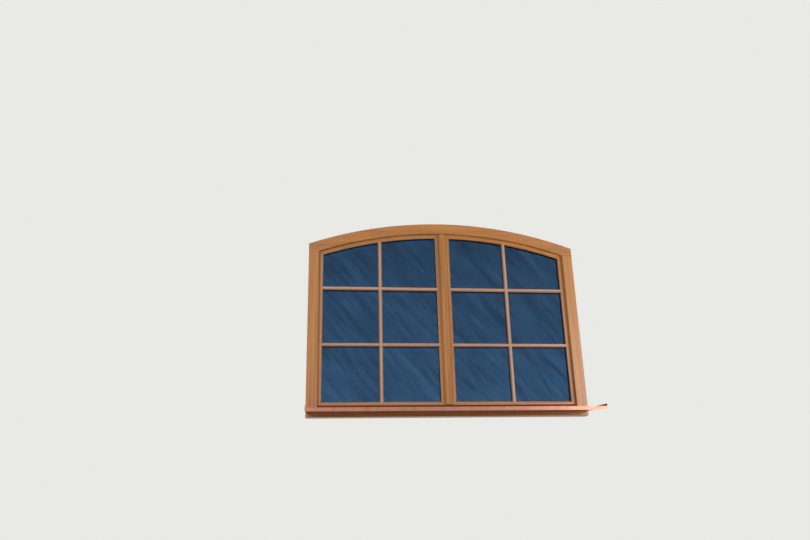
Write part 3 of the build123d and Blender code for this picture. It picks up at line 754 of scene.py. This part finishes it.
def new_verts(extruded):
    """The vertices among what an extrusion made."""
    return [part for part in extruded["geom"] if isinstance(part, bmesh.types.BMVert)]


def lower(shape, verts, share, depth):
    """Scale some vertices about Z and move them down."""
    bmesh.ops.scale(shape, vec=(share, share, 1), verts=verts)
    bmesh.ops.translate(shape, vec=(0, 0, -depth), verts=verts)


def screw_head(radius):
    """A low countersunk head with a cross recess, lying in the plane z = 0 and facing up."""
    shape = bmesh.new()
    bmesh.ops.create_grid(shape, x_segments=3, y_segments=3, size=SCREW_CROSS * radius)
    corners = [
        face for face in shape.faces
        if min(abs(c) for c in face.calc_center_median()[:2]) > SCREW_ARM * radius
    ]
    bmesh.ops.delete(shape, geom=corners, context="FACES")
    loose = [vert for vert in shape.verts if not vert.link_faces]
    bmesh.ops.delete(shape, geom=loose, context="VERTS")
    cross = shape.faces[:]
    outline = open_edges(shape)
    rim = bmesh.ops.create_circle(shape, segments=SCREW_FACETS, radius=SCREW_TOP * radius)["verts"]
    outline += {edge for vert in rim for edge in vert.link_edges}
    bmesh.ops.bridge_loops(shape, edges=outline)
    recess = new_verts(bmesh.ops.extrude_face_region(shape, geom=cross))
    bmesh.ops.delete(shape, geom=cross, context="FACES")
    lower(shape, recess, RECESS_FOOT, RECESS_DEPTH * radius)
    skirt = new_verts(bmesh.ops.extrude_edge_only(shape, edges=open_edges(shape)))
    lower(shape, skirt, 1 / SCREW_TOP, SCREW_CROWN * radius)
    bmesh.ops.translate(shape, vec=(0, 0, SCREW_CROWN * radius), verts=shape.verts)
    cone = new_verts(bmesh.ops.extrude_edge_only(shape, edges=open_edges(shape)))
    lower(shape, cone, SCREW_FOOT, SCREW_DEPTH * radius)
    bmesh.ops.holes_fill(shape, edges=open_edges(shape))
    bmesh.ops.recalc_face_normals(shape, faces=shape.faces)
    return shape


def place_piece(form, name, node, slot, *materials):
    """Turn a form into a smooth piece with flat broad faces, which moves with a node's body."""
    mesh = bpy.data.meshes.new(name)
    form.to_mesh(mesh)
    form.free()
    for material in materials:
        mesh.materials.append(material)
    mesh.shade_smooth()
    mesh.set_sharp_from_angle(angle=math.radians(SHARP_ANGLE))
    piece = bpy.data.objects.new(name, mesh)
    piece.modifiers.new("flat_faces", "WEIGHTED_NORMAL").keep_sharp = True
    bpy.context.scene.collection.objects.link(piece)
    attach(piece, body_of(node))
    return piece


def eased_solids(node, radius, steps):
    """Each solid of a node in whole faces, with its long sharp edges eased."""
    flat = math.radians(FLAT_ANGLE)
    for shape in solids_apart(node):
        bmesh.ops.dissolve_limit(shape, angle_limit=flat, verts=shape.verts, edges=shape.edges)
        sharp = [
            edge for edge in shape.edges
            if edge.is_manifold
            and edge.calc_face_angle() > math.radians(EASED_ANGLE)
            and edge.calc_length() > EASED_LENGTH * radius
        ]
        ease(shape, sharp, radius, steps, clamp=True)
        bmesh.ops.dissolve_degenerate(shape, dist=SPECK, edges=shape.edges)
        shape.normal_update()
        yield shape


def eased_node(node, radius, slot, material, steps=2):
    """A piece with a node's own form and eased edges, which stands for the node."""
    form = bmesh.new()
    for shape in eased_solids(node, radius, steps):
        add_shape(form, shape)
    piece = place_piece(form, f"eased_{node}", node, slot, material)
    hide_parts(node)


class WINDOW_OT_timber(bpy.types.Operator):
    """Ease the arrises of every timber member and lay the grain along each board"""

    bl_idname = "window.timber"
    bl_label = "Timber members"

    def execute(self, context):
        look = context.scene.timber_look
        parts = frame["record"]["subparts"]
        members = sorted(part["node"] for part in parts if part["material_slot"] == "timber")
        for number, node in enumerate(members):
            form = bmesh.new()
            for shape in eased_solids(node, look.arris, look.arris_steps):
                self.lay_grain(node, shape)
                add_shape(form, shape)
            grains = [
                glazed_larch(look, upright, number % BOARDS, painted_sheen)
                for painted_sheen in (False, True)
                for upright in (True, False)
            ]
            piece = place_piece(form, f"eased_{node}", node, "timber", *grains)
            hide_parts(node)
        return {"FINISHED"}

    def lay_grain(self, node, shape):
        """Run the grain upright in a tall shape, else level, and give bars and chamfers a painted
        sheen.
        """
        low, high = extent(shape)
        for face in shape.faces:
            # Bars and the chamfers beside the glass take the colours of a painted sheen
            painted_sheen = "_bar" in node or self.is_glass_chamfer(node, face)
            face.material_index = 2 * painted_sheen + (high.z - low.z <= high.x - low.x)

    def is_glass_chamfer(self, node, face):
        """Whether a face is the chamfer beside the glass on a sash's outdoor side."""
        sash = node.endswith(("_stile", "_rail")) and node.startswith(("active_", "passive_"))
        slopes = CHAMFER_FACING[0] < face.normal.y < CHAMFER_FACING[1]
        longest = max(edge.calc_length() for edge in face.edges)
        return sash and slopes and face.calc_area() > CHAMFER * longest


class WINDOW_OT_glazing(bpy.types.Operator):
    """Give panes, spacers and seals their finishes, and round the edges of the overlap seals"""

    bl_idname = "window.glazing"
    bl_label = "Glazing"

    def execute(self, context):
        look = context.scene.glass_look
        glass = coated_glass(look)
        # Plastic on thin steel, extruded: a dull dark line round and between the panes
        spacer = plain_finish("warm_edge_spacer", look.spacer, roughness=0.6)
        # Rubber, moulded: brown and nearly matt, with a faint skin
        seal = plain_finish("sealing_rubber", look.seal, roughness=0.7, grain=1 * MM)
        for sash in ("active", "passive"):
            dress(glass, f"{sash}_outer_pane", f"{sash}_inner_pane")
            dress(spacer, f"{sash}_glass_spacer")
            dress(seal, f"{sash}_glazing_seals")
            eased_node(f"{sash}_overlap_seal", look.seal_edge, "seal", seal, steps=3)
        return {"FINISHED"}


class WINDOW_OT_sheet_metal(bpy.types.Operator):
    """Ease the folds of the copper sill and the rain rail, and screw down the sill's upstand"""

    bl_idname = "window.sheet_metal"
    bl_label = "Sill and rain rail"

    def execute(self, context):
        look = context.scene.metal_look
        copper = weathered_copper(look)
        eased_node("copper_sill", SHEET_FOLD, "copper", copper)
        # Aluminium, extruded and anodised bronze: dark brown with a silky shine
        bronze = plain_finish("bronze_anodised_aluminium", look.rail, roughness=0.4, metallic=0.9)
        eased_node("rain_rail", SHEET_FOLD, "rail", bronze)
        eased_node("rain_rail_end_caps", SHEET_FOLD, "rail", bronze)
        self.sill_screws(context.scene.hardware_sizes, copper)
        return {"FINISHED"}

    def sill_screws(self, size, copper):
        """Copper screws with washers along the sill's upstand."""
        low, high = map(Vector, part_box("copper_sill"))
        spacing = size.sill_screw_spacing
        count = int((high.x - low.x - spacing / 2) / spacing)
        washer = [(share * size.sill_screw, height) for share, height in WASHER]
        form = bmesh.new()
        for number in range(count + 1):
            across = (number - count / 2) * spacing
            place = facing((across, -SHEET, SILL_SCREW_HEIGHT), (0, -1, 0))
            add_shape(form, turned(washer, facets=28), place)
            place = facing((across, -SHEET - WASHER_TOP, SILL_SCREW_HEIGHT), (0, -1, 0))
            add_shape(form, screw_head(size.sill_screw), place)
        place_piece(form, "sill_screws", "copper_sill", "copper", copper)


class WINDOW_OT_hinges(bpy.types.Operator):
    """Turn the hinge barrels with a cap at each end, set their leaves and drive in the leaf pins"""

    bl_idname = "window.hinges"
    bl_label = "Hinges"

    def execute(self, context):
        size = context.scene.hardware_sizes
        zinc = zinc_steel(context.scene.metal_look)
        for sash, side in (("active", "left"), ("passive", "right")):
            axis = joint_place(f"{sash}_swing")
            self.barrels(f"{sash}_hinge_parts", axis, 1, size, zinc)
            self.barrels(f"{side}_hinge_frame_parts", axis, -1, size, zinc)
            self.leaf_pins(f"{sash}_hinge_parts", f"{sash}_hinge_stile", size, zinc)
        return {"FINISHED"}

    def barrels(self, node, axis, way, size, zinc):
        """Barrels and leaves, capped above on a sash (way 1) and below on the frame (way -1)."""
        form = bmesh.new()
        for low, high in solids_of(node):
            if way > 0:
                joint, end, bore = low.z, high.z, PIN_RADIUS
                leaf_low = Vector((low.x if axis.x > 0 else axis.x, axis.y - LEAF / 2, 0))
                leaf_high = Vector((axis.x if axis.x > 0 else high.x, axis.y + LEAF / 2, 0))
            else:
                joint, end, bore = low.z + BARREL, low.z, 0
                leaf_low = Vector((axis.x - LEAF / 2, low.y, 0))
                leaf_high = Vector((axis.x + LEAF / 2, axis.y, 0))
                pin = [(0, joint), (PIN_RADIUS, joint), (PIN_RADIUS, high.z), (0, high.z)]
                add_shape(form, turned(pin, size.facets), Matrix.Translation((*axis.xy, 0)))
            leaf_low.z = min(joint, end) + LEAF_END
            leaf_high.z = max(joint, end) - LEAF_END
            radius = high.y - axis.y
            length = abs(end - joint)
            profile = [
                (bore, 0),
                (radius - size.soft_edge, 0),
                (radius, size.soft_edge),
                (radius, length - 1.5 * size.soft_edge),
                (radius - 1.5 * size.soft_edge, length),
            ]
            profile += [(share * radius, length + rise * size.finial) for share, rise in FINIAL]
            if bore:
                roof = length - size.finial
                profile += [(0, roof), (bore, roof), (bore, 0)]
            barrel = turned(profile, size.facets)
            add_shape(form, barrel, facing((axis.x, axis.y, joint), (0, 0, way)))
            leaf = block(leaf_low, leaf_high)
            ease(leaf, leaf.edges[:], size.soft_edge, steps=2)
            add_shape(form, leaf)
        piece = place_piece(form, f"turned_{node}", node, "steel", zinc)
        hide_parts(node)

    def leaf_pins(self, node, stile, size, zinc):
        """Two driven pins to each leaf, seen on the sash's room face."""
        form = bmesh.new()
        room_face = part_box(stile)[1][1]
        head = [(share * size.pin, height) for share, height in LEAF_PIN]
        for low, high in solids_of(node):
            for share in (0.25, 0.75):
                place = ((low.x + high.x) / 2, room_face, low.z + (high.z - low.z) * share)
                add_shape(form, turned(head, size.facets), facing(place, (0, 1, 0)))
        place_piece(form, f"{stile}_leaf_pins", stile, "steel", zinc)


class WINDOW_OT_handle(bpy.types.Operator):
    """Shape the tapered lever on its turned neck, and the rounded rosette under it"""

    bl_idname = "window.handle"
    bl_label = "Handle"

    def execute(self, context):
        look = context.scene.metal_look
        # Aluminium, cast and satin anodised: a warm pale grip with a soft highlight
        satin = plain_finish("satin_anodised_aluminium", look.handle, roughness=0.34, metallic=1.0)
        self.rosette(satin)
        self.lever(satin, context.scene.hardware_sizes.facets)
        return {"FINISHED"}

    def rosette(self, satin):
        """A cover with rounded corners and a domed rim, and a collar round the neck."""
        low, high = map(Vector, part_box("handle_rosette"))
        form = block(low, high)
        corners = [edge for edge in form.edges if depth_of(edge) > TOUCH]
        ease(form, corners, ROSETTE_CORNER, steps=8)
        rim = [
            edge for edge in form.edges if min(vert.co.y for vert in edge.verts) > high.y - TOUCH
        ]
        ease(form, rim, ROSETTE_RIM, steps=5)
        centre = joint_place("handle_turn")
        neck = NECK_RADIUS + COLLAR_GAP
        collar = [(neck + out * MM, up * MM) for out, up in COLLAR]
        place = facing((centre.x, high.y, centre.z), (0, 1, 0))
        add_shape(form, turned(collar, facets=40), place)
        piece = place_piece(form, "rounded_rosette", "handle_rosette", "handle", satin)
        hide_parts("handle_rosette")

    def lever(self, satin, facets):
        """A grip that narrows to its end, with soft edges, on a neck that flares into it."""
        low, high = map(Vector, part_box("handle_lever"))
        centre = joint_place("handle_turn")
        head = (high.x - low.x) / 2
        tip = LEVER_TIP / 2
        form = bmesh.new()
        bmesh.ops.create_circle(form, cap_ends=True, segments=48, radius=head)
        bmesh.ops.rotate(form, matrix=Matrix.Rotation(math.radians(90), 3, "X"), verts=form.verts)
        end = [vert for vert in form.verts if vert.co.z < -TOUCH]
        bmesh.ops.scale(form, vec=(tip / head, 1, tip / head), verts=end)
        bmesh.ops.translate(form, vec=(0, 0, head + tip - (high.z - low.z)), verts=end)
        bmesh.ops.translate(form, vec=(centre.x, high.y, centre.z), verts=form.verts)
        front = new_verts(bmesh.ops.extrude_face_region(form, geom=form.faces[:]))
        bmesh.ops.translate(form, vec=(0, -LEVER_THICK, 0), verts=front)
        bmesh.ops.recalc_face_normals(form, faces=form.faces)
        rims = [edge for edge in form.edges if depth_of(edge) < TOUCH]
        ease(form, rims, LEVER_SOFTNESS, steps=7, clamp=True)
        length = high.y - low.y - LEVER_THICK
        neck = [
            (0, 0),
            (NECK_RADIUS - NECK_EDGE, 0),
            (NECK_RADIUS, NECK_EDGE),
            *((NECK_RADIUS - slimmer * MM, share * length) for slimmer, share in NECK_WAIST),
            (NECK_RADIUS, length - NECK_EDGE),
            (NECK_RADIUS + NECK_FLARE, length + NECK_FLARE),
            (0, length + NECK_ROOT),
        ]
        place = facing((centre.x, low.y, centre.z), (0, 1, 0))
        add_shape(form, turned(neck, facets), place)
        piece = place_piece(form, "shaped_lever", "handle_lever", "handle", satin)
        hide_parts("handle_lever")


class WINDOW_OT_lock(bpy.types.Operator):
    """Ease the lock's plates and rod, turn its roller cams and drive in its screws"""

    bl_idname = "window.lock"
    bl_label = "Lock and bolts"

    def execute(self, context):
        size = context.scene.hardware_sizes
        zinc = zinc_steel(context.scene.metal_look)
        for node in ("active_lock_faceplate", "active_lock_case", "drive_rod", "cam_strikers"):
            eased_node(node, size.soft_edge, "steel", zinc)
        for part in ("bolt_housing", "bolt_plate", "bolt"):
            for place in ("upper", "lower"):
                eased_node(f"{place}_{part}", size.soft_edge, "steel", zinc)
        dress(zinc, "handle_spindle")
        self.cams(size, zinc)
        self.screws(size, zinc)
        return {"FINISHED"}

    def cams(self, size, zinc):
        """Mushroom rollers on the drive rod, each on its own pin."""
        form = bmesh.new()
        for low, high in solids_of("locking_cams"):
            radius = (high.y - low.y) / 2
            length = high.x - low.x
            pin = 0.6 * radius
            # The pin, the head with its rounded rims, and the pin's end with a dimple
            profile = [
                (0, 0),
                (pin, 0),
                (pin, 0.42 * length),
                (radius - 0.3 * MM, 0.42 * length),
                (radius, 0.46 * length),
                (radius, 0.9 * length),
                (radius - 0.5 * MM, 0.95 * length),
                (pin, 0.96 * length),
                (0.9 * pin, length),
                (0.4 * pin, length),
                (0.3 * pin, 0.94 * length),
                (0, 0.94 * length),
            ]
            middle = (low + high) / 2
            place = facing((low.x, middle.y, middle.z), (1, 0, 0))
            add_shape(form, turned(profile, size.facets), place)
        piece = place_piece(form, "roller_cams", "locking_cams", "steel", zinc)
        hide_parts("locking_cams")

    def screws(self, size, zinc):
        """Countersunk screws in the faceplate, the strikers, the bolt housings and the plates."""
        low, high = map(Vector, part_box("active_lock_faceplate"))
        middle = (low.y + high.y) / 2
        span = high.z - low.z
        heads = [(high.x, middle, low.z + share * span) for share in FACEPLATE_SCREWS]
        self.screw_set("faceplate_screws", "active_lock_faceplate", heads, (1, 0, 0), size, zinc)
        heads = [
            (high.x - STRIKER_PLATE, middle, height)
            for low, high in solids_of("cam_strikers")
            for height in (low.z + STRIKER_SCREW, high.z - STRIKER_SCREW)
        ]
        self.screw_set("striker_screws", "cam_strikers", heads, (-1, 0, 0), size, zinc)
        for end, way in (("upper", -1), ("lower", 1)):
            node = f"{end}_bolt_housing"
            low, high = map(Vector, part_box(f"{end}_bolt_housing"))
            height = high.z - HOUSING_SCREW if way > 0 else low.z + HOUSING_SCREW
            heads = [(low.x, middle, height)]
            self.screw_set(f"{end}_housing_screw", node, heads, (-1, 0, 0), size, zinc)
            node = f"{end}_bolt_plate"
            low, high = map(Vector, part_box(f"{end}_bolt_plate"))
            level = high.z if way > 0 else low.z
            heads = [(x, middle, level) for x in (low.x + HOUSING_SCREW, high.x - HOUSING_SCREW)]
            self.screw_set(f"{end}_plate_screws", node, heads, (0, 0, way), size, zinc)

    def screw_set(self, name, node, heads, way, size, zinc):
        """Screws that face one way, in one piece that moves with a node."""
        form = bmesh.new()
        for head in heads:
            add_shape(form, screw_head(size.screw), facing(head, way))
        place_piece(form, name, node, "steel", zinc)


def clear_panes():
    """A group of the panes, for lamps whose hard outline shouldn't be mirrored in them."""
    group = bpy.data.collections.new("panes_without_lamps")
    for sash in ("active", "passive"):
        for side in ("outer", "inner"):
            group.objects.link(frame["nodes"][f"{sash}_{side}_pane"])
    for member in group.collection_objects:
        member.light_linking.link_state = "EXCLUDE"
    return group


def soft_light(name, place, target, power, width, unlit):
    """A square lamp that faces a point."""
    lamp = bpy.data.lights.new(name, "AREA")
    lamp.energy = power
    lamp.size = width
    holder = bpy.data.objects.new(name, lamp)
    holder.location = place
    holder.rotation_euler = (Vector(target) - Vector(place)).to_track_quat("-Z", "Y").to_euler()
    holder.visible_camera = False
    holder.visible_transmission = False
    holder.light_linking.receiver_collection = unlit
    bpy.context.scene.collection.objects.link(holder)


class WINDOW_OT_stage(bpy.types.Operator):
    """Set the floor, the light, the background and the photograph's camera"""

    bl_idname = "window.stage"
    bl_label = "Stage"

    def execute(self, context):
        look = context.scene.stage_look
        self.floor(look)
        self.background(context.scene, look)
        low, high = CAD_BOX
        middle = [(a + b) / 2 for a, b in zip(low, high)]
        panes = clear_panes()
        for name, (place, width) in LAMPS.items():
            soft_light(name, place, middle, getattr(look, f"{name}_power"), width, panes)
        self.camera(context.scene)
        context.scene.view_settings.view_transform = "Standard"
        return {"FINISHED"}

    def floor(self, look):
        """A wide pale floor."""
        form = bmesh.new()
        bmesh.ops.create_circle(form, cap_ends=True, segments=128, radius=FLOOR_RADIUS)
        bmesh.ops.translate(form, verts=form.verts, vec=(0, 0, -FLOOR_DROP))
        mesh = bpy.data.meshes.new("floor")
        form.to_mesh(mesh)
        form.free()
        floor = bpy.data.objects.new("floor", mesh)
        bpy.context.scene.collection.objects.link(floor)
        mesh.materials.append(self.matt_floor(look))

    def matt_floor(self, look):
        """A matt pale paint that camera, glass and metal see nearly as pale as the background."""
        material = plain_finish("matt_floor", look.backdrop, roughness=0.8)
        tree = material.node_tree
        share = add_node(
            tree, "Math", {"operation": "MULTIPLY", 1: look.floor_lift}, {0: self.seen(tree)}
        )[0]
        glow = add_node(tree, "Emission", {"Color": opaque(look.backdrop)})[0]
        shader = next(node for node in tree.nodes if node.type == "BSDF_PRINCIPLED").outputs[0]
        output = next(node for node in tree.nodes if node.type == "OUTPUT_MATERIAL")
        mixed = add_node(tree, "MixShader", links={0: share, 1: shader, 2: glow})[0]
        tree.links.new(mixed, output.inputs["Surface"])
        return material

    def seen(self, tree):
        """One for rays that come from the camera, or by way of metal or glass, and else nothing."""
        path = add_node(tree, "LightPath")
        sight = path["Is Camera Ray"]
        for way in ("Is Glossy Ray", "Is Transmission Ray"):
            either = {0: sight, 1: path[way]}
            sight = add_node(tree, "Math", {"operation": "MAXIMUM"}, either)[0]
        return sight

    def background(self, scene, look):
        """An even pale sky for what the camera, glass and metal see, and a softer one as light."""
        world = bpy.data.worlds.new("studio")
        world.use_nodes = True
        scene.world = world
        tree = world.node_tree
        tree.nodes.clear()
        strength = add_node(
            tree, "MapRange", {"To Min": look.sky_strength, "To Max": 1.0},
            {"Value": self.seen(tree)},
        )["Result"]
        light = add_node(
            tree, "Background", {"Color": opaque(look.backdrop)}, {"Strength": strength}
        )[0]
        add_node(tree, "OutputWorld", links={"Surface": light})

    def camera(self, scene):
        """The photograph's viewpoint, from below and a little to the left."""
        yaw, pitch, roll = (math.radians(a) for a in (CAMERA_YAW, CAMERA_PITCH, CAMERA_ROLL))
        ahead = Vector((
            math.sin(yaw) * math.cos(pitch), math.cos(yaw) * math.cos(pitch), math.sin(pitch)
        ))
        level = Vector((math.cos(yaw), -math.sin(yaw), 0))
        up = level.cross(ahead)
        right = level * math.cos(roll) + up * math.sin(roll)
        top = up * math.cos(roll) - level * math.sin(roll)
        turn = Matrix((right, top, -ahead)).transposed()
        lens = bpy.data.cameras.new("photograph")
        lens.sensor_width = SENSOR_WIDTH
        lens.lens = FOCAL_PIXELS / PICTURE_WIDTH * SENSOR_WIDTH
        viewer = bpy.data.objects.new("photograph", lens)
        viewer.matrix_world = Matrix.Translation(CAMERA_PLACE) @ turn.to_4x4()
        scene.collection.objects.link(viewer)
        scene.camera = viewer


class WINDOW_PT_panel(bpy.types.Panel):
    """The window's looks, in the sidebar"""

    bl_idname = "WINDOW_PT_panel"
    bl_label = "Arched window"
    bl_space_type = "VIEW_3D"
    bl_region_type = "UI"
    bl_category = "Window"

    def draw(self, context):
        for name in LOOKS:
            look = getattr(context.scene, name)
            box = self.layout.box()
            for field in look.bl_rna.properties:
                if not field.is_readonly and field.identifier != "name":
                    box.prop(look, field.identifier)
        for operator in OPERATORS:
            self.layout.operator(operator.bl_idname)


LOOKS = {
    "timber_look": TimberLook,
    "glass_look": GlassLook,
    "metal_look": MetalLook,
    "hardware_sizes": HardwareSizes,
    "stage_look": StageLook,
}
OPERATORS = (
    WINDOW_OT_timber,
    WINDOW_OT_glazing,
    WINDOW_OT_sheet_metal,
    WINDOW_OT_hinges,
    WINDOW_OT_handle,
    WINDOW_OT_lock,
    WINDOW_OT_stage,
)


def register():
    for cls in (*LOOKS.values(), *OPERATORS, WINDOW_PT_panel):
        bpy.utils.register_class(cls)
    for name, cls in LOOKS.items():
        setattr(bpy.types.Scene, name, PointerProperty(type=cls))


def unregister():
    for name in LOOKS:
        delattr(bpy.types.Scene, name)
    for cls in (WINDOW_PT_panel, *reversed(OPERATORS), *LOOKS.values()):
        bpy.utils.unregister_class(cls)


def main():
    """Build every piece in order."""
    register()
    bpy.ops.window.timber()
    bpy.ops.window.glazing()
    bpy.ops.window.sheet_metal()
    bpy.ops.window.hinges()
    bpy.ops.window.handle()
    bpy.ops.window.lock()
    bpy.ops.window.stage()


if __name__ == "__main__":
    main()
